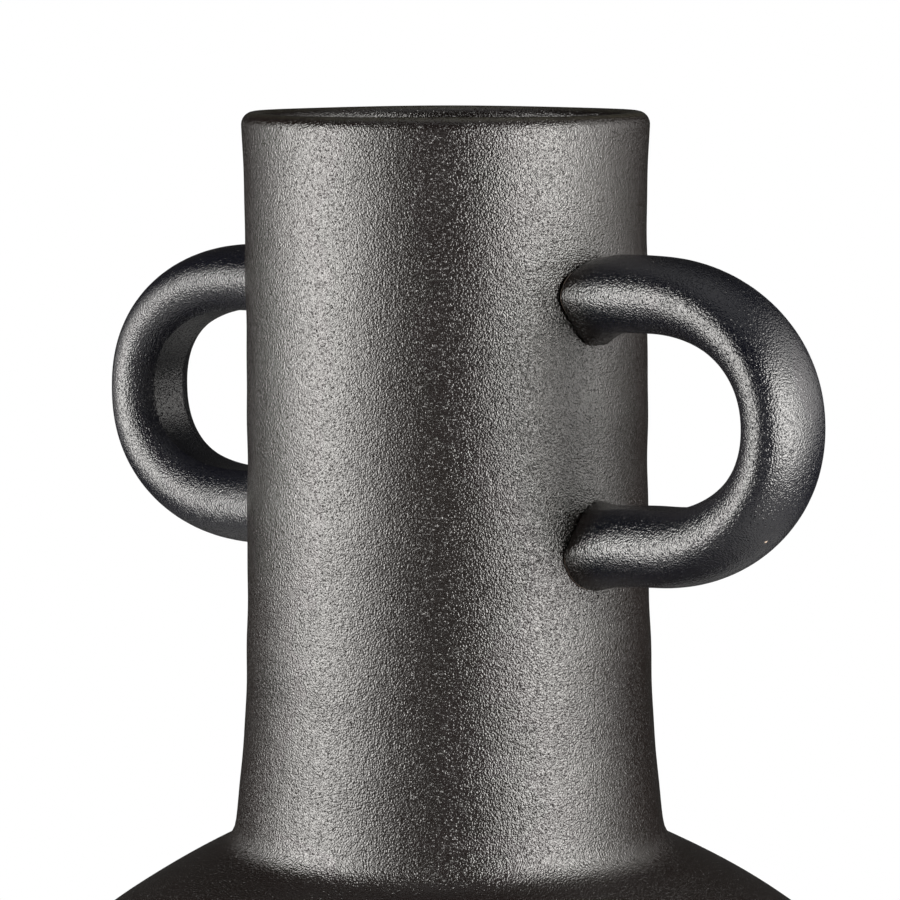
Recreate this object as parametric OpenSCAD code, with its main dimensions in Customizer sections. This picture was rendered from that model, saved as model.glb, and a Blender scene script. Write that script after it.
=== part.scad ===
// Amphora vase: a hollow thrown body with a tall neck, a rounded lip and two loop handles.
// Z is up, the origin is the centre of the foot's underside, and the handles lie along X.

/* [Neck] */
// Outer diameter at the middle of the neck
neck_d = 120; // [100:1:140]
// Height of the neck from the shoulder's crease to the top of the lip
neck_h = 219; // [180:1:260]
// How far the foot of the neck spreads out to the shoulder, on the radius
neck_spread = 6; // [2:0.5:12]
// Height over which that spread dies away
neck_spread_h = 31; // [10:1:40]
// Radius of the small hollow in the crease between neck and shoulder
crease_r = 5; // [1:0.5:8]

/* [Lip] */
// How far the lip turns out, on the radius
lip_flare = 1; // [0:0.25:4]
// Height over which the lip turns out
lip_flare_h = 11; // [4:1:16]
// Height of the rounded top of the lip
lip_round = 4.5; // [2:0.5:7]

/* [Belly] */
// Outer diameter at the widest place
belly_d = 300; // [260:1:360]
// Height of the widest place above the table
belly_z = 125; // [100:1:140]
// Height of the shoulder's crease above the table
shoulder_z = 241; // [220:1:280]
// Slope of the shoulder below level where it leaves the neck, in degrees
shoulder_slope = 27; // [20:1:36]
// How far the shoulder keeps that slope before it turns down
shoulder_run = 60; // [40:1:70]
// How far the side stays upright above and below the widest place
side_run = 60; // [40:1:70]

/* [Foot] */
// Outer diameter of the foot ring
foot_d = 160; // [120:1:200]
// Height of the foot ring
foot_h = 6; // [4:0.5:12]
// Width of the foot ring's standing face, with its two bevels
foot_w = 11; // [8:0.5:18]
// Depth of the recess inside the foot ring
foot_recess = 4; // [3:0.5:6]
// Bevel on the foot ring's edges
foot_bevel = 1.5; // [0.5:0.25:2.5]
// Angle at which the side leaves the foot ring, in degrees above level
foot_slope = 38; // [25:1:55]
// How far the side keeps that slope above the foot ring
foot_run = 45; // [30:1:60]

/* [Wall] */
// Thickness of the wall
wall = 7; // [4:0.5:9]
// Height of the floor inside, above the table
floor_z = 12; // [10:0.5:16]

/* [Handles] */
// Width of a handle across its plane
handle_w = 28; // [20:0.5:34]
// Thickness of a handle at its legs
handle_t = 22; // [16:0.5:26]
// Thickness of a handle at its outer bend
bend_t = 18.5; // [14:0.5:24]
// Width of the flat face on the inner side of a handle
handle_flat = 12; // [4:0.5:16]
// Height between the centre lines of a handle's two legs
handle_rise = 72; // [60:1:90]
// Depth of the middle of a handle below the top of the lip
handle_drop = 87; // [70:1:110]
// Distance from the neck to the centre line at the outer bend
handle_reach = 70; // [55:0.5:85]
// Length of a leg before it starts to bend
handle_leg = 20; // [8:0.5:30]
// How square the bend is, where 2 is an ellipse
handle_square = 2.1; // [2:0.05:2.6]
// How much a root flares where it is luted to the neck, on the radius
root_flare = 3; // [0:0.25:5]
// Length over which the root flares
root_flare_l = 4; // [2:0.5:8]

/* [Hidden] */
glaze = [0.13, 0.12, 0.12];
turn_fn = 96;
belly_steps = 18;
foot_steps = 14;
floor_steps = 6;
neck_steps = 14;
lip_steps = 10;
crease_steps = 4;
handle_sides = 28;
leg_rings = 6;
bend_rings = 32;
neck_r = neck_d / 2;
belly_r = belly_d / 2;
foot_r = foot_d / 2;
top_z = shoulder_z + neck_h;
handle_z = top_z - handle_drop;

// Outer radius of the neck at a height above the shoulder's crease
function neck_r_at(h) = neck_r + neck_spread * exp(-h / neck_spread_h)
    + lip_flare * exp((h - neck_h) / lip_flare_h);

// Blend of two values or points, and the points of a Bezier curve over a list of control points
function mix(a, b, t) = a * (1 - t) + b * t;
function bezier_at(p, t) = len(p) == 1 ? p[0]
    : bezier_at([for (i = [0 : len(p) - 2]) mix(p[i], p[i + 1], t)], t);
function bezier(p, steps) = [for (i = [0 : steps]) bezier_at(p, i / steps)];

// Direction of an outline at one of its points, and the outline moved to its left by a distance
function unit(v) = v / norm(v);
function run_at(p, i) = unit(p[min(i + 1, len(p) - 1)] - p[max(i - 1, 0)]);
function inset(p, d) = [for (i = [0 : len(p) - 1]) let (u = run_at(p, i)) p[i] + d * [-u[1], u[0]]];

// The crease: where the neck and the shoulder would meet, and the two ends of its hollow
crease_at = [neck_r_at(0), shoulder_z];
neck_dir = unit([neck_r_at(crease_r) - neck_r_at(0), crease_r]);
shoulder_dir = [cos(shoulder_slope), -sin(shoulder_slope)];
crease_len = crease_r / tan(acos(neck_dir * shoulder_dir) / 2);
shoulder_start = crease_at + crease_len * shoulder_dir;
neck_start_h = crease_len * neck_dir[1];

// The side of the pot from the foot ring up to the lip's round, as outline points in order
side_low = bezier([
    [foot_r, foot_h],
    [foot_r, foot_h] + foot_run * [cos(foot_slope), sin(foot_slope)],
    [belly_r, belly_z - side_run],
    [belly_r, belly_z]
], foot_steps);
side_high = bezier([
    [belly_r, belly_z],
    [belly_r, belly_z + side_run],
    shoulder_start + shoulder_run * shoulder_dir,
    shoulder_start
], belly_steps);
crease = bezier([shoulder_start, crease_at, crease_at + crease_len * neck_dir], crease_steps);
neck_end_h = neck_h - lip_round;
neck = [for (i = [1 : neck_steps])
    let (h = mix(neck_start_h, neck_end_h, i / neck_steps))
    [neck_r_at(h), shoulder_z + h]];
function tail(p) = [for (i = [1 : len(p) - 1]) p[i]];
side = concat(side_low, tail(side_high), tail(crease), neck);

// The lip: half an ellipse from the outer wall over to the inner wall
lip_mid_r = neck_r_at(neck_end_h) - wall / 2;
lip = [for (i = [1 : lip_steps - 1])
    let (a = 180 * i / lip_steps)
    [lip_mid_r + wall / 2 * cos(a), top_z - lip_round + lip_round * sin(a)]];

// The foot ring's section, from the recess out to the side
foot_in_r = foot_r - foot_w;
foot = [
    [foot_in_r - foot_bevel, foot_recess],
    [foot_in_r, foot_recess - foot_bevel],
    [foot_in_r + foot_bevel, 0],
    [foot_r - foot_bevel, 0],
    [foot_r, foot_bevel]
];

// The wall's inner face, from the floor up to the lip, and the dished floor from there to the middle
inner = [for (p = inset(side, wall)) if (p[1] > floor_z) p];
floor_dish = bezier([inner[0], [inner[0][0] / 2, floor_z], [0, floor_z]], floor_steps);

// The clay: outer side, lip and inner side, closed by the floor and the foot
module pot() {
    rotate_extrude($fn = turn_fn)
        polygon(concat(
            [[0, foot_recess]], foot, side, lip,
            [[lip_mid_r - wall / 2, top_z - lip_round]],
            [for (i = [len(inner) - 2 : -1 : 1]) inner[i]],
            floor_dish
        ));
}

// Centre line of a handle in its own plane: out along the top leg, round and back
root_x = neck_r - wall / 2;
bend_x = neck_r + handle_leg;
bend_reach = handle_reach - handle_leg;
leg_z = handle_rise / 2;
function round_pow(v) = sign(v) * pow(abs(v), 2 / handle_square);
handle_line = concat(
    [for (i = [0 : leg_rings - 1]) [mix(root_x, bend_x, i / leg_rings), leg_z]],
    [for (i = [0 : bend_rings]) let (a = 90 - 180 * i / bend_rings)
        [bend_x + bend_reach * round_pow(cos(a)), leg_z * round_pow(sin(a))]],
    [for (i = [leg_rings - 1 : -1 : 0]) [mix(root_x, bend_x, i / leg_rings), -leg_z]]
);

// Width and thickness of a handle at a distance out from the neck, with the flare of its roots
function flare_at(out) = 2 * root_flare * exp(-max(out, 0) / root_flare_l);
function wide_at(out) = handle_w + flare_at(out);
function thick_at(out) = mix(handle_t, bend_t, pow(max(out, 0) / handle_reach, 2)) + flare_at(out);

// A point of a handle's section, counted from the middle of its outer side: round outside, flat inside
function section_at(a, w, t) =
    let (deep = t / 2 / sqrt(1 - pow(handle_flat / handle_w, 2)))
    [cos(a) > 0 ? t / 2 * cos(a) : max(-t / 2, deep * cos(a)), w / 2 * sin(a)];

// One handle on the +X side, swept along its centre line
module handle() {
    rings = len(handle_line);
    points = [for (i = [0 : rings - 1])
        let (at = handle_line[i], u = run_at(handle_line, i), out = at[0] - neck_r)
        for (k = [0 : handle_sides - 1])
            let (s = section_at(360 * k / handle_sides, wide_at(out), thick_at(out)))
            [at[0] - u[1] * s[0], s[1], at[1] + u[0] * s[0]]];
    skin = [for (i = [0 : rings - 2], k = [0 : handle_sides - 1])
        let (here = i * handle_sides, next = here + handle_sides, l = (k + 1) % handle_sides)
        [here + l, next + l, next + k, here + k]];
    ends = [
        [for (k = [handle_sides - 1 : -1 : 0]) k],
        [for (k = [0 : handle_sides - 1]) (rings - 1) * handle_sides + k]
    ];
    translate([0, 0, handle_z])
        polyhedron(points, concat(skin, ends), convexity = 4);
}

// The whole vase, one piece of fired clay
module vase() {
    color(glaze)
    union() {
        pot();
        for (side_turn = [0, 180])
            rotate([0, 0, side_turn]) handle();
    }
}

vase();
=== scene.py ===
# Amphora vase: the looks of a black, sandy-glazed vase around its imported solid.
import math

import bmesh
import bpy
import numpy as np
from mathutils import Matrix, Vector, kdtree


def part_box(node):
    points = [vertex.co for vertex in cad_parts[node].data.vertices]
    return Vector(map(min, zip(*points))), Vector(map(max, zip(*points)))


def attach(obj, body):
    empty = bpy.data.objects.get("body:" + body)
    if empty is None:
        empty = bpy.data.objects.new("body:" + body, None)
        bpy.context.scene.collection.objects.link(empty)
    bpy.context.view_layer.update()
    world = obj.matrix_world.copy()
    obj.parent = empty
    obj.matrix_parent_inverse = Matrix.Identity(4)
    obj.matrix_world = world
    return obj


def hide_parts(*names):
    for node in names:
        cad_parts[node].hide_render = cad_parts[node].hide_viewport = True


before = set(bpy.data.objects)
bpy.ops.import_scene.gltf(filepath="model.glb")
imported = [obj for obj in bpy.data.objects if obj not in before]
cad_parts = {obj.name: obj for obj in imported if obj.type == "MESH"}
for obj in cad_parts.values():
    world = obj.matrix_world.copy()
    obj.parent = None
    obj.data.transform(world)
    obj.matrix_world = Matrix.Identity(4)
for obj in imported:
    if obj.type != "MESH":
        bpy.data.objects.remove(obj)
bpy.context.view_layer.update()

MM = 0.001
foot_corner, lip_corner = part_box("vase")
TOP_Z = lip_corner.z

# The vase's sizes in metres, in the frame of its solid
NECK_R = 59.7 * MM
NECK_H = 219 * MM
NECK_SPREAD = 5.9 * MM
NECK_SPREAD_H = 31 * MM
LIP_FLARE = 1.1 * MM
LIP_FLARE_H = 11 * MM
LIP_ROUND = 3.8 * MM
CREASE_R = 9.5 * MM
SHOULDER_Z = TOP_Z - NECK_H
SHOULDER_SLOPE = math.radians(27)
SHOULDER_RUN = 60 * MM
BELLY_R = 150 * MM
BELLY_Z = 125 * MM
SIDE_RUN = 60 * MM
FOOT_R = 80 * MM
FOOT_H = 6 * MM
FOOT_W = 11 * MM
FOOT_RECESS = 4 * MM
FOOT_BEVEL = 1.5 * MM
FOOT_SLOPE = math.radians(38)
FOOT_RUN = 45 * MM
WALL = 7 * MM
FLOOR_Z = 12 * MM
HANDLE_Z = TOP_Z - 87 * MM

# Where the photograph was taken from, with the angles in radians and the lens in millimetres
VIEW_AZIMUTH = math.radians(43.5)
VIEW_DISTANCE = 1250 * MM
VIEW_HEIGHT = TOP_Z + 38 * MM
VIEW_ASIDE = -0.9 * MM
VIEW_PITCH = 0.111
VIEW_LENS = 168.3
VIEW_RIGHT = Vector((math.cos(VIEW_AZIMUTH), math.sin(VIEW_AZIMUTH), 0))
SENSOR = 36.0


def make_camera():
    """The camera at the photograph's place, looking a little down at the neck."""
    data = bpy.data.cameras.new("camera")
    data.sensor_width = SENSOR
    data.lens = VIEW_LENS
    camera = bpy.data.objects.new("camera", data)
    away = Vector((math.sin(VIEW_AZIMUTH), -math.cos(VIEW_AZIMUTH), 0))
    camera.location = VIEW_DISTANCE * away + VIEW_ASIDE * VIEW_RIGHT + Vector((0, 0, VIEW_HEIGHT))
    camera.rotation_euler = (math.pi / 2 - VIEW_PITCH, 0, VIEW_AZIMUTH)
    bpy.context.scene.collection.objects.link(camera)
    bpy.context.scene.camera = camera


make_camera()


# Steps of the outlines, and row spacing of the turned mesh by the stretch of the section that a row lies on
SIDE_STEPS = 400
CREASE_STEPS = 50
LIP_STEPS = 60
FLOOR_STEPS = 60
FINE_STEP = 0.3 * MM
FOOT_ROWS = 1.5 * MM
ROOT_ROWS = 1.5 * MM
NECK_ROWS = 2.8 * MM
LIP_ROWS = 0.9 * MM
BELLY_ROWS = 3.6 * MM
INSIDE_ROWS = 9 * MM
UNDER_ROWS = 6 * MM
ROOT_REACH = 56 * MM
TURN_STEPS = 256


# Outlines of the turned body, as arrays of radius and height
def bezier(points, steps):
    """Points along a Bezier curve over its control points."""
    t = np.linspace(0, 1, steps + 1)[:, None]
    level = [np.array(point, float) for point in points]
    while len(level) > 1:
        level = [a + (b - a) * t for a, b in zip(level, level[1:])]
    return level[0]


def neck_radius(h):
    """Outer radius of the neck at a height above the shoulder's crease."""
    return NECK_R + NECK_SPREAD * np.exp(-h / NECK_SPREAD_H) + LIP_FLARE * np.exp((h - NECK_H) / LIP_FLARE_H)


def outer_side():
    """The outside from the top of the foot ring up to the lip's round."""
    corner = np.array([neck_radius(0), SHOULDER_Z])
    up_neck = np.array([neck_radius(CREASE_R) - neck_radius(0), CREASE_R])
    up_neck /= np.hypot(*up_neck)
    down_shoulder = np.array([math.cos(SHOULDER_SLOPE), -math.sin(SHOULDER_SLOPE)])
    reach = CREASE_R / math.tan(math.acos(up_neck @ down_shoulder) / 2)
    start = corner + reach * down_shoulder
    foot_top = np.array([FOOT_R, FOOT_H])
    low = bezier([
        foot_top,
        foot_top + FOOT_RUN * np.array([math.cos(FOOT_SLOPE), math.sin(FOOT_SLOPE)]),
        (BELLY_R, BELLY_Z - SIDE_RUN),
        (BELLY_R, BELLY_Z),
    ], SIDE_STEPS)
    high = bezier([
        (BELLY_R, BELLY_Z),
        (BELLY_R, BELLY_Z + SIDE_RUN),
        start + SHOULDER_RUN * down_shoulder,
        start,
    ], SIDE_STEPS)
    crease = bezier([start, corner, corner + reach * up_neck], CREASE_STEPS)
    h = np.linspace(reach * up_neck[1], NECK_H - LIP_ROUND, SIDE_STEPS)[1:]
    neck = np.stack([neck_radius(h), SHOULDER_Z + h], 1)
    return np.concatenate([low, high[1:], crease[1:], neck])


def inset(line, distance):
    """An outline moved to its left."""
    run = np.gradient(line, axis=0)
    run /= np.linalg.norm(run, axis=1, keepdims=True)
    return line + distance * np.stack([-run[:, 1], run[:, 0]], 1)


def pot_section():
    """The whole section of the wall: underside, foot, side, lip, inside and floor."""
    side = outer_side()
    inside = inset(side, WALL)
    inside = inside[inside[:, 1] > FLOOR_Z][::-1]
    mid = side[-1, 0] - WALL / 2
    turn = np.linspace(0, math.pi, LIP_STEPS)[1:-1]
    lip = np.stack([mid + WALL / 2 * np.cos(turn), TOP_Z - LIP_ROUND + LIP_ROUND * np.sin(turn)], 1)
    ring = FOOT_R - FOOT_W
    foot = np.array([
        (0, FOOT_RECESS),
        (ring - FOOT_BEVEL, FOOT_RECESS),
        (ring, FOOT_RECESS - FOOT_BEVEL),
        (ring + FOOT_BEVEL, 0),
        (FOOT_R - FOOT_BEVEL, 0),
        (FOOT_R, FOOT_BEVEL),
    ])
    floor = bezier([inside[-1], (inside[-1, 0] / 2, FLOOR_Z), (0, FLOOR_Z)], FLOOR_STEPS)
    return np.concatenate([foot, side, lip, inside, floor[1:]])


def row_spacing(section):
    """How far apart the rows may lie at each point of the section."""
    r, z = section.T
    top = np.argmax(z)
    outside = np.arange(len(section)) <= top
    spacing = np.where(outside, BELLY_ROWS, INSIDE_ROWS)
    spacing[outside & (z > SHOULDER_Z - 3 * CREASE_R)] = NECK_ROWS
    spacing[outside & (abs(z - HANDLE_Z) < ROOT_REACH)] = ROOT_ROWS
    spacing[(z > TOP_Z - 4 * LIP_ROUND) & ~outside] = NECK_ROWS
    spacing[z > TOP_Z - 1.5 * LIP_ROUND] = LIP_ROWS
    spacing[outside & (z < 2 * FOOT_H)] = FOOT_ROWS
    spacing[outside & (r < FOOT_R - FOOT_W - 2 * FOOT_BEVEL) & (z < 2 * FOOT_H)] = UNDER_ROWS
    return spacing


def spaced_rows(section):
    """The section sampled again at its row spacing, with its corners kept."""
    dense = [section[0]]
    for a, b in zip(section, section[1:]):
        parts = max(1, int(np.hypot(*(b - a)) / FINE_STEP))
        dense += [a + (b - a) * i / parts for i in range(1, parts + 1)]
    dense = np.array(dense)
    step = np.hypot(*np.diff(dense, axis=0).T)
    cost = np.concatenate([[0], np.cumsum(step / row_spacing(dense)[1:])])
    rows = int(round(cost[-1]))
    at = np.interp(np.linspace(0, cost[-1], rows + 1), cost, np.arange(len(dense)))
    low = np.floor(at).astype(int).clip(0, len(dense) - 2)
    part = (at - low)[:, None]
    return dense[low] * (1 - part) + dense[low + 1] * part


def mesh_object(name, points, faces):
    """A new object from arrays of points and faces."""
    mesh = bpy.data.meshes.new(name)
    mesh.from_pydata([tuple(p) for p in points], [], faces)
    mesh.validate()
    obj = bpy.data.objects.new(name, mesh)
    bpy.context.scene.collection.objects.link(obj)
    return obj


def turned_pot():
    """The body and neck, turned from the section, with one point at each end on the axis."""
    rows = spaced_rows(pot_section())
    turn = np.arange(TURN_STEPS) * 2 * math.pi / TURN_STEPS
    rings = [np.stack([r * np.cos(turn), r * np.sin(turn), np.full(TURN_STEPS, z)], 1) for r, z in rows[1:-1]]
    points = np.concatenate([[(0, 0, rows[0][1])], *rings, [(0, 0, rows[-1][1])]])
    count = len(rings)
    last = len(points) - 1
    faces = []
    for k in range(TURN_STEPS):
        n = (k + 1) % TURN_STEPS
        faces.append((0, 1 + n, 1 + k))
        faces.append((last, 1 + (count - 1) * TURN_STEPS + k, 1 + (count - 1) * TURN_STEPS + n))
    for i in range(count - 1):
        a = 1 + i * TURN_STEPS
        b = a + TURN_STEPS
        for k in range(TURN_STEPS):
            n = (k + 1) % TURN_STEPS
            faces.append((a + k, a + n, b + n, b + k))
    return mesh_object("pot", points, faces)


# The two handles differ a little, because each was pulled and bent by hand. Sizes are in mm: "out" is the
# side away from the hole and "in" the side that faces it. The bend is an ellipse where "square" is 2, and gets
# thin later with more "thinning". "lift" raises the whole handle and "tilt" raises it on its way out. A "taper"
# below 0 makes the lower leg the thicker one. The roots flare, and droop where the wet clay sank. Where there
# are two numbers, they are for the lower and the upper root.
HANDLES = {
    "near": dict(side=1, bend_x=84.1, reach=129.8, rise=36.4, lift=-0.1, tilt=0.016, square=2.10, taper=-0.3,
                 leg_out=11.6, leg_in=11.4, bend_out=8.0, bend_in=10.4, thinning=1.8, half_width=14.2,
                 root_out=0.4, root_in=(3.4, 6.4), root_aside=(-0.2, 2.2), droop=(2.6, 1.5)),
    "far": dict(side=-1, bend_x=81.9, reach=131.6, rise=36.0, lift=-1.4, tilt=-0.036, square=2.21, taper=-0.7,
                leg_out=10.9, leg_in=11.2, bend_out=9.2, bend_in=9.0, thinning=2.3, half_width=13.8,
                root_out=1.5, root_in=(3.0, 3.0), root_aside=(1.8, 1.8), droop=(0.6, 0.6)),
}
FLAT_SHARE = 0.434
FLAT_CORNER = math.pi - math.asin(FLAT_SHARE)
CORNER_SOFT = math.radians(1.6)
CURVE_POINTS = 23
FLAT_POINTS = 4
LEG_RINGS = 26
BEND_RINGS = 70
SUNK = 4.5

# How far out from the neck, in mm, a root flares and droops, and how much its inner side narrows to a web
ROOT_FLARE_L = 3.5
ROOT_DROOP_L = 7
ROOT_WEB = 0.75


def around_handle():
    """Where the points lie round a handle's section, closer together at the edges of its flat face."""
    curve = np.linspace(0, FLAT_CORNER - CORNER_SOFT, CURVE_POINTS)
    flat = np.linspace(FLAT_CORNER + CORNER_SOFT, math.pi, FLAT_POINTS)
    half = np.concatenate([curve, [FLAT_CORNER], flat])
    return np.concatenate([half, 2 * math.pi - half[-2:0:-1]])


def handle_mesh(name, spec):
    """One handle, swept along its bend: an oval strap with a flat inner face, flared where it is luted on."""
    neck_r = NECK_R / MM
    leg = np.linspace(neck_r - SUNK, spec["bend_x"], LEG_RINGS + 1)[:-1]
    turn = np.linspace(math.pi / 2, -math.pi / 2, BEND_RINGS + 1)
    power = 2 / spec["square"]
    bend_x = spec["bend_x"] + (spec["reach"] - spec["bend_x"]) * np.cos(turn).clip(0) ** power
    bend_z = spec["rise"] * np.sign(np.sin(turn)) * abs(np.sin(turn)) ** power
    x = np.concatenate([leg, bend_x, leg[::-1]])
    z = np.concatenate([np.full(LEG_RINGS, spec["rise"]), bend_z, np.full(LEG_RINGS, -spec["rise"])])
    line = np.stack([x, z], 1)
    run = np.gradient(line, axis=0)
    run /= np.linalg.norm(run, axis=1, keepdims=True)
    out = (x - neck_r).clip(0)
    bent = (out / (spec["reach"] - neck_r)) ** spec["thinning"]
    taper = spec["taper"] * z / spec["rise"]
    flare = np.exp(-out / ROOT_FLARE_L)

    def by_leg(size):
        """A size that goes over from its value for the lower leg to its value for the upper one."""
        return np.interp(z, (-spec["rise"], spec["rise"]), spec[size])

    outer = spec["leg_out"] + (spec["bend_out"] - spec["leg_out"]) * bent + taper + flare * spec["root_out"]
    inner = spec["leg_in"] + (spec["bend_in"] - spec["leg_in"]) * bent + taper + flare * by_leg("root_in")
    aside = spec["half_width"] + flare * by_leg("root_aside")
    at_root = np.exp(-out / ROOT_DROOP_L)
    webs = ROOT_WEB * at_root
    sinks = at_root * by_leg("droop")
    around = around_handle()
    sides = len(around)
    c, s = np.cos(around), np.sin(around)
    deep = 1 / math.sqrt(1 - FLAT_SHARE ** 2)
    flat_side = (deep * -c).clip(0, 1)
    web_side = (-c).clip(0, 1) ** 3
    side = spec["side"]
    points = []
    for (cx, cz), (ux, uz), a, b, w, web, sink in zip(line, run, outer, inner, aside, webs, sinks):
        off = np.where(c > 0, a * c, -b * (flat_side + web * (web_side - flat_side)))
        px = cx - uz * off
        py = w * s
        pz = cz + ux * off + spec["tilt"] * (cx - neck_r) + spec["lift"] - sink
        points.append(np.stack([side * px * MM, side * py * MM, HANDLE_Z + pz * MM], 1))
    rings = len(points)
    points = np.concatenate(points)
    faces = []
    for i in range(rings - 1):
        a = i * sides
        b = a + sides
        for k in range(sides):
            n = (k + 1) % sides
            faces.append((a + n, b + n, b + k, a + k))
    faces.append(tuple(range(sides - 1, -1, -1)))
    faces.append(tuple((rings - 1) * sides + k for k in range(sides)))
    return mesh_object(name, points, faces)


def join_clay(pot, handles):
    """The pot with its handles luted on, as one closed skin."""
    for handle in handles:
        union = pot.modifiers.new("lute", "BOOLEAN")
        union.operation = "UNION"
        union.solver = "MANIFOLD"
        union.object = handle
    bpy.context.view_layer.update()
    graph = bpy.context.evaluated_depsgraph_get()
    mesh = bpy.data.meshes.new_from_object(pot.evaluated_get(graph))
    vase = bpy.data.objects.new("vase_glazed", mesh)
    bpy.context.scene.collection.objects.link(vase)
    for spare in [pot, *handles]:
        bpy.data.objects.remove(spare)
    return vase


# How the joins of the handles are smoothed, and how far from a join that reaches
JOIN_ANGLE = math.radians(20)
JOIN_BAND = 4 * MM
UPPER_SMOOTH = dict(reach=5.5 * MM, rounds=32)
LOWER_SMOOTH = dict(reach=1.2 * MM, rounds=7)
FAR_FROM_NECK = 20 * MM


def is_join(edge):
    """Whether an edge of the mesh lies where a handle's skin meets the neck's."""
    middle = (edge.verts[0].co + edge.verts[1].co) / 2
    on_neck = abs(math.hypot(middle.x, middle.y) - NECK_R) < JOIN_BAND
    return on_neck and abs(middle.z - HANDLE_Z) < ROOT_REACH and edge.calc_face_angle() > JOIN_ANGLE


def smooth_joins(vase):
    """Softens the joins as a wet finger does, and stores each point's distance off the neck."""
    mesh = bmesh.new()
    mesh.from_mesh(vase.data)
    join = {vert for edge in mesh.edges if is_join(edge) for vert in edge.verts}
    tree = kdtree.KDTree(len(join))
    for index, vert in enumerate(join):
        tree.insert(vert.co, index)
    tree.balance()
    near = []
    off_neck = []
    for vert in mesh.verts:
        smooth = UPPER_SMOOTH if vert.co.z > HANDLE_Z else LOWER_SMOOTH
        gap = tree.find(vert.co)[2] / smooth["reach"]
        if gap < 2:
            near.append((vert, math.exp(-gap ** 2), smooth["rounds"]))
        h = vert.co.z - SHOULDER_Z
        off = math.hypot(vert.co.x, vert.co.y) - neck_radius(h) if h > 3 * CREASE_R else 0
        off_neck.append(min(max(off, 0), FAR_FROM_NECK))
    for turn in range(UPPER_SMOOTH["rounds"]):
        active = [(vert, share) for vert, share, rounds in near if rounds > turn]
        means = [sum((edge.other_vert(vert).co for edge in vert.link_edges), Vector()) / len(vert.link_edges)
                 for vert, _ in active]
        for (vert, share), mean in zip(active, means):
            vert.co = vert.co.lerp(mean, share / 2)
    mesh.to_mesh(vase.data)
    mesh.free()
    vase.data.attributes.new("off_neck", "FLOAT", "POINT").data.foreach_set("value", off_neck)


def all_points(mesh):
    """The points of a mesh as an array."""
    co = np.empty(len(mesh.vertices) * 3)
    mesh.vertices.foreach_get("co", co)
    return co.reshape(-1, 3)


# How far the neck stands and leans to the side on the body, to the right in the photograph
NECK_ASIDE = -0.9 * MM
LEAN = -0.0063
RIPPLES = (
    dict(depth=0.10 * MM, length=37 * MM, turns=0, start=0.8),
    dict(depth=0.07 * MM, length=22 * MM, turns=2, start=2.1),
    dict(depth=0.08 * MM, length=90 * MM, turns=3, start=4.0),
)
LIP_DROP = 0.25 * MM
LIP_TIP = 0.1 * MM
LIP_WAVE = 0.2 * MM


def ease(value, low, high):
    """A smooth step from 0 at low to 1 at high."""
    t = ((value - low) / (high - low)).clip(0, 1)
    return t * t * (3 - 2 * t)


def uneven_by_hand(vase):
    """Ripples from the throwing, a neck that stands and leans a little aside, and a lip that isn't level."""
    co = all_points(vase.data)
    z = co[:, 2].copy()
    r = np.hypot(co[:, 0], co[:, 1])
    angle = np.arctan2(co[:, 1], co[:, 0])
    on_pot = 1 - ease(r - NECK_R, JOIN_BAND, 3 * JOIN_BAND) * (z > SHOULDER_Z + 2 * CREASE_R)
    ripple = 0
    for wave in RIPPLES:
        phase = 2 * math.pi * z / wave["length"] + wave["turns"] * angle + wave["start"]
        ripple = ripple + wave["depth"] * np.sin(phase)
    above_foot = ease(z, 2 * FOOT_H, 6 * FOOT_H)
    grow = 1 + on_pot * above_foot * ripple / r.clip(NECK_R / 2)
    co[:, :2] *= grow[:, None]
    aside = NECK_ASIDE * ease(z, SHOULDER_Z - 2 * CREASE_R, SHOULDER_Z) + LEAN * (z - SHOULDER_Z).clip(0)
    lip = ease(z, TOP_Z - 5 * LIP_ROUND, TOP_Z)
    across = (co @ np.array(VIEW_RIGHT)) / NECK_R
    wave = LIP_WAVE * (np.cos(4 * (angle - VIEW_AZIMUTH)) - 1) / 2
    co[:, 2] += lip * (LIP_TIP * across + wave - LIP_DROP)
    co += aside[:, None] * np.array(VIEW_RIGHT)
    vase.data.vertices.foreach_set("co", co.ravel())
    vase.data.update()


# The least angle of an edge that stays sharp in the shading
SHARP = math.radians(35)


def make_vase():
    """The whole vase as one closed mesh: turned, luted, smoothed and a little uneven."""
    handles = [handle_mesh(name, spec) for name, spec in HANDLES.items()]
    vase = join_clay(turned_pot(), handles)
    smooth_joins(vase)
    uneven_by_hand(vase)
    for face in vase.data.polygons:
        face.use_smooth = True
    vase.data.set_sharp_from_angle(angle=SHARP)
    return vase


vase = make_vase()


class Value:
    """What comes out of a shader node, ready to be used in a sum."""

    def __init__(self, recipe, socket):
        self.recipe = recipe
        self.socket = socket

    def math(self, operation, *values):
        sockets = dict(enumerate(values))
        return self.recipe.node("ShaderNodeMath", dict(operation=operation), sockets)

    def __add__(self, other):
        return self.math("ADD", self, other)

    def __radd__(self, other):
        return self.math("ADD", other, self)

    def __sub__(self, other):
        return self.math("SUBTRACT", self, other)

    def __rsub__(self, other):
        return self.math("SUBTRACT", other, self)

    def __mul__(self, other):
        return self.math("MULTIPLY", self, other)

    def __rmul__(self, other):
        return self.math("MULTIPLY", other, self)

    def larger(self, other):
        return self.math("MAXIMUM", self, other)


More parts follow.
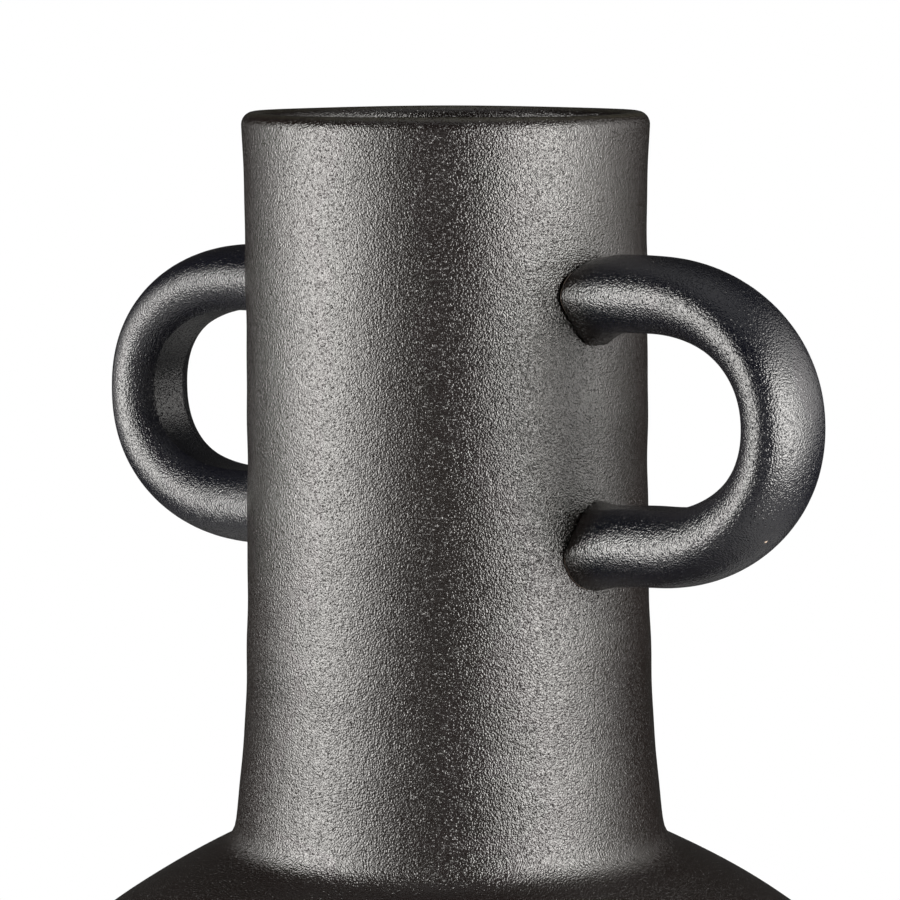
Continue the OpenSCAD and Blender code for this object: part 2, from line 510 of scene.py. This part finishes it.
class Recipe:
    """A shader being mixed: its nodes are added by plain calls and sums."""

    def __init__(self, owner):
        owner.use_nodes = True
        self.tree = owner.node_tree
        self.tree.nodes.clear()

    def node(self, kind, settings, sockets, output=0):
        """A new node: its settings go in first, then the values or links of its sockets."""
        made = self.tree.nodes.new(kind)
        for name, setting in settings.items():
            setattr(made, name, setting)
        for key, value in sockets.items():
            socket = self.pick(made.inputs, key)
            if isinstance(value, Value):
                self.tree.links.new(value.socket, socket)
            else:
                socket.default_value = value
        return Value(self, self.pick(made.outputs, output)) if made.outputs else None

    def pick(self, sockets, key):
        """A socket in use, by its name or its number."""
        if isinstance(key, int):
            return sockets[key]
        return next(socket for socket in sockets if socket.enabled and socket.name == key)

    def place(self):
        """Where a point lies on the object, in metres."""
        return self.node("ShaderNodeTexCoord", {}, {}, "Object")

    def noise(self, place, size, detail=2.0):
        """Soft lumps of about the given size, from 0 to 1."""
        sockets = dict(Vector=place, Scale=1 / size, Detail=detail, Roughness=0.5)
        return self.node("ShaderNodeTexNoise", {}, sockets)

    def to_point(self, place, gap):
        """How far it is to the nearest of scattered points that lie about one gap apart."""
        return self.node("ShaderNodeTexVoronoi", {}, dict(Vector=place, Scale=1 / gap), "Distance") * gap

    def step(self, value, low, high):
        """A smooth step from 0 at low to 1 at high."""
        settings = dict(interpolation_type="SMOOTHSTEP")
        limits = {"From Min": low, "From Max": high, "To Min": 0.0, "To Max": 1.0}
        return self.node("ShaderNodeMapRange", settings, {"Value": value, **limits})

    def fall(self, value, low, high):
        """A smooth step from 1 at low to 0 at high."""
        return 1 - self.step(value, low, high)

    def seen(self):
        """1 for what the eye, gloss and glass see, and 0 for the light that falls on things."""
        rays = [self.node("ShaderNodeLightPath", {}, {}, name)
                for name in ("Is Camera Ray", "Is Glossy Ray", "Is Transmission Ray")]
        return rays[0].larger(rays[1]).larger(rays[2])

    def blend(self, share, under, over):
        """One colour going over to another."""
        settings = dict(data_type="RGBA")
        return self.node("ShaderNodeMix", settings, dict(Factor=share, A=under, B=over), "Result")

    def surface(self, fixed, colour, roughness, height=None):
        """Ends the recipe in a principled surface, raised and sunk by a height in metres."""
        sockets = {"Base Color": colour, "Roughness": roughness, **fixed}
        if height is not None:
            relief = dict(Strength=1.0, Distance=1.0, Height=height)
            sockets["Normal"] = self.node("ShaderNodeBump", {}, relief)
        self.finish(self.node("ShaderNodeBsdfPrincipled", {}, sockets))

    def finish(self, shader, output="ShaderNodeOutputMaterial"):
        self.node(output, {}, dict(Surface=shader))


def colour(red, green, blue):
    return (red, green, blue, 1.0)


# Colours of the fired surface, and a painted shade for the pinholes
BLACK_GLAZE = colour(0.0042, 0.0028, 0.0024)
BROWN_BLACK = colour(0.0062, 0.0040, 0.0032)
BLUE_BLACK = colour(0.0024, 0.0026, 0.0050)
THIN_GLAZE = colour(0.045, 0.042, 0.028)
BARE_CLAY = colour(0.13, 0.085, 0.060)
PALE_CLAY = colour(0.40, 0.31, 0.24)
# A painted shade that darkens the pinholes, darker than the glaze
PAINTED_PIT_SHADE = colour(0.002, 0.002, 0.002)

# Sizes of the grain in the glaze, and of the patches in its colour and gloss
TONE_SIZE = 30 * MM
LIP_PATCH = 3 * MM
GLOSS_PATCH = 2 * MM
SAND = 0.50 * MM
SAND_HEIGHT = 0.27 * MM
SAND_DETAIL = 1.0
GRAIN_GAP = 0.9 * MM
GRAIN_R = 0.40 * MM
GRAIN_HEIGHT = 0.11 * MM
LUMP = 1.1 * MM
LUMP_HEIGHT = 0.12 * MM
HANDLE_SMOOTHER = 0.12
PEEL = 7 * MM
PEEL_HEIGHT = 0.12 * MM
PIT_GAP = 3.0 * MM
PIT_R = 0.33 * MM
PIT_DEPTH = 0.25 * MM
GLAZE_SHINE = 0.7
GLAZE_ROUGH = 0.14
GLAZE_UNEVEN = 0.06
CLAY_ROUGHER = 0.5

# Marks that the photograph shows, each by its place in mm. A bead is a drop of glaze, a blister is a broken
# bubble, a chip shows the pale clay, and at a join the clay shows as a thin line within reach of the place.
BEADS = (
    dict(at=(59.1, -1.2, 320.4), radius=0.75, height=0.45),
    dict(at=(58.4, 8.4, 320.8), radius=0.40, height=0.25),
    dict(at=(91.4, -8.0, 398.6), radius=0.80, height=0.60),
    dict(at=(89.5, -9.3, 399.5), radius=0.50, height=0.40),
)
BLISTERS = (
    dict(at=(135.5, -7.5, 369.4), radius=0.85, height=0.13),
)
CHIPS = (
    dict(at=(123.8, -3.9, 342.7), radius=0.60),
)
BARE_JOINS = (
    dict(at=(57.5, -17.0, 411.0), reach=9, share=0.75),
    dict(at=(58.6, -11.5, 325.0), reach=10, share=0.85),
)
JOIN_LINE = (0.08 * MM, 0.30 * MM, 0.75 * MM)


def glaze():
    """Black satin glaze over sandy clay, thin on the lip and at the joins, with the foot left bare."""
    material = bpy.data.materials.new("black_glaze")
    recipe = Recipe(material)
    place = recipe.place()
    z = recipe.node("ShaderNodeSeparateXYZ", {}, dict(Vector=place), "Z")

    def near(mark, inner, outer):
        """1 within the inner and 0 beyond the outer distance from a mark, both in mm."""
        at = Vector(mark["at"]) * MM
        gap = recipe.node("ShaderNodeVectorMath", dict(operation="DISTANCE"), {0: place, 1: at}, "Value")
        return recipe.fall(gap, inner * MM, outer * MM)

    sand = recipe.noise(place, SAND, detail=SAND_DETAIL) - 0.5
    lumps = recipe.noise(place, LUMP, detail=1.0) - 0.5
    peel = recipe.noise(place, PEEL, detail=1.0) - 0.5
    grains = recipe.fall(recipe.to_point(place, GRAIN_GAP), 0.0, GRAIN_R)
    pits = recipe.fall(recipe.to_point(place, PIT_GAP), 0.4 * PIT_R, PIT_R)
    off_neck = recipe.node("ShaderNodeAttribute", dict(attribute_name="off_neck"), {}, "Fac")
    on_handle = recipe.step(off_neck, 0.1 * FAR_FROM_NECK, 0.6 * FAR_FROM_NECK)
    height = sand * SAND_HEIGHT + grains * GRAIN_HEIGHT + lumps * LUMP_HEIGHT
    height = height * (1 - HANDLE_SMOOTHER * on_handle) + peel * PEEL_HEIGHT - pits * PIT_DEPTH
    for bead in BEADS:
        height = height + near(bead, 0.0, bead["radius"]) * (bead["height"] * MM)
    for blister in BLISTERS:
        rim = near(blister, 0.5 * blister["radius"], blister["radius"])
        height = height + (rim - 1.6 * near(blister, 0.0, 0.6 * blister["radius"])) * (blister["height"] * MM)

    tone = recipe.blend(recipe.noise(place, TONE_SIZE), BLACK_GLAZE, BROWN_BLACK)
    tone = recipe.blend(on_handle, tone, BLUE_BLACK)
    lip = recipe.step(z, TOP_Z - 0.5 * LIP_ROUND, TOP_Z - 0.1 * LIP_ROUND)
    tone = recipe.blend(lip * recipe.noise(place, LIP_PATCH), tone, THIN_GLAZE)
    # Painted shade: the pinholes are darkened in the colour as well as sunk in the bump
    tone = recipe.blend(pits, tone, PAINTED_PIT_SHADE)
    for chip in CHIPS:
        tone = recipe.blend(near(chip, 0.5 * chip["radius"], chip["radius"]), tone, PALE_CLAY)

    line = recipe.step(off_neck, *JOIN_LINE[:2]) * recipe.fall(off_neck, *JOIN_LINE[1:])
    shown = [near(join, 0.6 * join["reach"], join["reach"]) * join["share"] for join in BARE_JOINS]
    join = line * shown[0].larger(shown[1])
    tone = recipe.blend(join, tone, BARE_CLAY)

    bare = recipe.fall(z, 0.8 * FOOT_H, FOOT_H)
    tone = recipe.blend(bare, tone, BARE_CLAY)
    glaze_rough = GLAZE_ROUGH + GLAZE_UNEVEN * recipe.noise(place, GLOSS_PATCH)
    roughness = glaze_rough + CLAY_ROUGHER * bare.larger(join)
    recipe.surface({"Specular IOR Level": GLAZE_SHINE}, tone, roughness, height)
    return material


vase.data.materials.clear()
vase.data.materials.append(glaze())
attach(vase, "root")
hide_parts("vase")


# The studio: every azimuth is counted to the right from the photograph's view of the vase, in degrees. The
# lamps stand round the vase with their lower and upper edges at the given heights in metres.
LAMP_DISTANCE = 0.62
LAMPS = (
    dict(name="left_strip", azimuth=-76, half=11, low=0.04, high=0.60, light=8.8),
    dict(name="left_softbox", azimuth=-66, half=27, low=0.16, high=0.72, light=5.4),
    dict(name="front_card", azimuth=5, half=42, low=0.30, high=0.52, light=0.55),
    dict(name="right_softbox", azimuth=50, half=13, low=0.12, high=0.68, light=12.2),
    dict(name="right_wide", azimuth=68, half=24, low=0.12, high=0.90, light=3.5),
    dict(name="right_card", azimuth=108, half=14, low=0.34, high=0.95, light=1.8),
    dict(name="back_left_card", azimuth=-112, half=16, low=0.22, high=0.56, light=1.6),
)
WARM_WHITE = (1.0, 0.98, 0.945)
CLOTH = colour(0.02, 0.02, 0.02)
PAPER = colour(0.4, 0.4, 0.4)
MATT = 0.9
DRAPE_R = (0.72, 1.15)
DRAPE_H = 2.2
DRAPE_STEPS = 96
GROUND_R = 12.0
GROUND_STEPS = 128
GROUND_FADE = (0.60, 0.98)
GROUND_FADE_SEEN = (0.20, 0.48)
CEILING_LIGHT = 0.50
HORIZON_TOP = (math.sin(math.radians(12)), math.sin(math.radians(35)))


def softbox(name, azimuth, half, low, high, light):
    """A rectangular lamp that stands upright, faces the vase's axis and shows it the given brightness."""
    width = 2 * LAMP_DISTANCE * math.tan(math.radians(half))
    data = bpy.data.lights.new(name, "AREA")
    data.shape = "RECTANGLE"
    data.size = width
    data.size_y = high - low
    data.energy = light * math.pi * width * (high - low)
    data.color = WARM_WHITE
    lamp = bpy.data.objects.new(name, data)
    angle = VIEW_AZIMUTH + math.radians(azimuth)
    middle = Vector((0, 0, (low + high) / 2))
    lamp.location = middle + LAMP_DISTANCE * Vector((math.sin(angle), -math.cos(angle), 0))
    lamp.rotation_euler = (middle - lamp.location).to_track_quat("-Z", "Y").to_euler()
    lamp.visible_camera = False
    bpy.context.scene.collection.objects.link(lamp)


def cloth():
    """The dark cloth that hangs round the set and keeps stray light off the glaze."""
    material = bpy.data.materials.new("dark_cloth")
    Recipe(material).surface({}, CLOTH, MATT)
    return material


def paper():
    """Pale paper that keeps the vase's shadow, and is plain white to the eye before it gets to the cloth.

    In reflections it stays paper almost up to the cloth.
    """
    material = bpy.data.materials.new("paper")
    recipe = Recipe(material)
    sockets = {"Base Color": PAPER, "Roughness": MATT}
    near = recipe.node("ShaderNodeBsdfPrincipled", {}, sockets)
    white = recipe.node("ShaderNodeEmission", {}, dict(Color=colour(1, 1, 1), Strength=1.0))
    reach = recipe.node("ShaderNodeVectorMath", dict(operation="LENGTH"), {0: recipe.place()}, "Value")
    eye = recipe.node("ShaderNodeLightPath", {}, {}, "Is Camera Ray")
    for_eye = recipe.step(reach, *GROUND_FADE_SEEN) * eye
    share = for_eye.larger(recipe.step(reach, *GROUND_FADE) * recipe.seen())
    recipe.finish(recipe.node("ShaderNodeMixShader", {}, {0: share, 1: near, 2: white}))
    return material


def studio_air():
    """Dim air that lights the set softly. Near the horizon it is white to the eye and in reflections."""
    world = bpy.data.worlds.new("studio")
    bpy.context.scene.world = world
    recipe = Recipe(world)
    direction = recipe.node("ShaderNodeTexCoord", {}, {}, "Generated")
    rise = recipe.node("ShaderNodeSeparateXYZ", {}, dict(Vector=direction), "Z")
    share = recipe.fall(rise, *HORIZON_TOP) * recipe.seen()
    dim = recipe.node("ShaderNodeBackground", {}, dict(Color=colour(1, 1, 1), Strength=CEILING_LIGHT))
    white = recipe.node("ShaderNodeBackground", {}, dict(Color=colour(1, 1, 1), Strength=1.0))
    mixed = recipe.node("ShaderNodeMixShader", {}, {0: share, 1: dim, 2: white})
    recipe.finish(mixed, "ShaderNodeOutputWorld")


def circle(radius, z, steps):
    """Points round the vase's axis at one height."""
    turn = np.arange(steps) * 2 * math.pi / steps
    return [(radius * math.cos(a), radius * math.sin(a), z) for a in turn]


def hung_drape():
    """The cloth as a ring that is open above and below, and wider above."""
    steps = DRAPE_STEPS
    points = circle(DRAPE_R[0], 0, steps) + circle(DRAPE_R[1], DRAPE_H, steps)
    faces = [(k, (k + 1) % steps, steps + (k + 1) % steps, steps + k) for k in range(steps)]
    return mesh_object("drape", points, faces)


for lamp in LAMPS:
    softbox(**lamp)

drape = hung_drape()
drape.data.materials.append(cloth())
drape.visible_camera = False

studio_air()
floor = mesh_object("floor", circle(GROUND_R, 0, GROUND_STEPS), [tuple(range(GROUND_STEPS))])
floor.data.materials.append(paper())

bpy.context.scene.view_settings.view_transform = "Standard"
